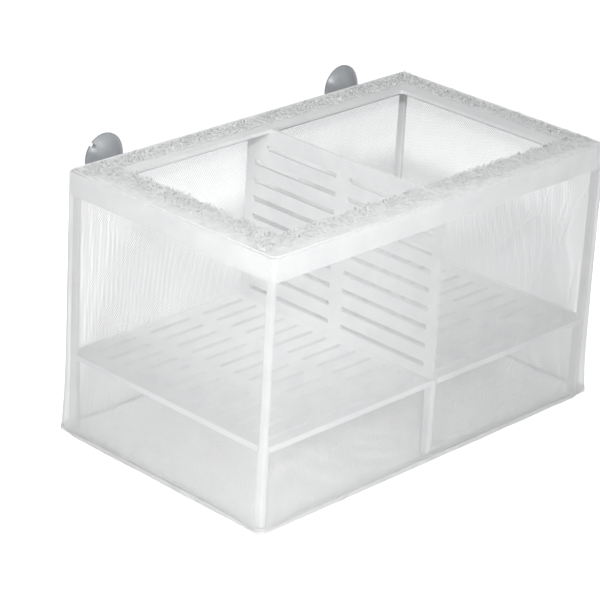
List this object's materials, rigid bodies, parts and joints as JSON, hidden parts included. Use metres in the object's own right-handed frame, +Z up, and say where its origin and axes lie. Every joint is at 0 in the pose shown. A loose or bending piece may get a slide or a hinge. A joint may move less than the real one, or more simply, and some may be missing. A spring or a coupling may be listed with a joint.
{
  "type": "fish breeding box",
  "caption": "Oblong net box for holding fish fry: white plastic frame, slotted floor, lift-out divider, suction cups and a fine net bag.",
  "frame": {"origin": "centre of the net bag's flat underside, under the middle of the frame", "axes": "+X along the long side, to the right seen from the front; +Y to the back, where the suction cups face the tank glass; +Z up"},
  "size_m": [0.257, 0.166, 0.162],
  "materials": {
    "frame_plastic": "white, moulded, semi-matte",
    "floor_plastic": "white, moulded, semi-matte",
    "divider_plastic": "white, moulded, semi-matte",
    "cup_vinyl": "clear grey soft vinyl",
    "net": "white nylon tulle, 1.2 mm mesh",
    "net_hem": "the same tulle, gathered",
    "seam_thread": "overlocked seam, white",
    "elastic": "thin round elastic, white"
  },
  "bodies": {
    "frame": {"top_rim": "frame_plastic", "corner_post_front_left": "frame_plastic", "corner_post_front_right": "frame_plastic", "corner_post_back_left": "frame_plastic", "corner_post_back_right": "frame_plastic", "mid_leg_front": "frame_plastic", "mid_leg_back": "frame_plastic", "floor_left": "floor_plastic", "floor_right": "floor_plastic", "net_front": "net", "net_back": "net", "net_left": "net", "net_right": "net", "net_bottom": "net", "bottom_seam": "seam_thread", "hem_front": "net_hem", "hem_back": "net_hem", "hem_left": "net_hem", "hem_right": "net_hem", "elastic_cord": "elastic"},
    "divider": {"divider": "divider_plastic"},
    "suction_cup_left": {"suction_cup_left": "cup_vinyl"},
    "suction_cup_right": {"suction_cup_right": "cup_vinyl"}
  },
  "joints": [
    {"name": "divider_lift", "type": "slide", "parent": "frame", "child": "divider", "axis": [0, 0, 1], "range_m": [0, 0.115]},
    {"name": "cup_spin_left", "type": "hinge", "parent": "frame", "child": "suction_cup_left", "pos_m": [-0.0905, 0.075, 0.149], "axis": [0, 1, 0], "continuous": true},
    {"name": "cup_spin_right", "type": "hinge", "parent": "frame", "child": "suction_cup_right", "pos_m": [0.0905, 0.075, 0.149], "axis": [0, 1, 0], "continuous": true}
  ]
}
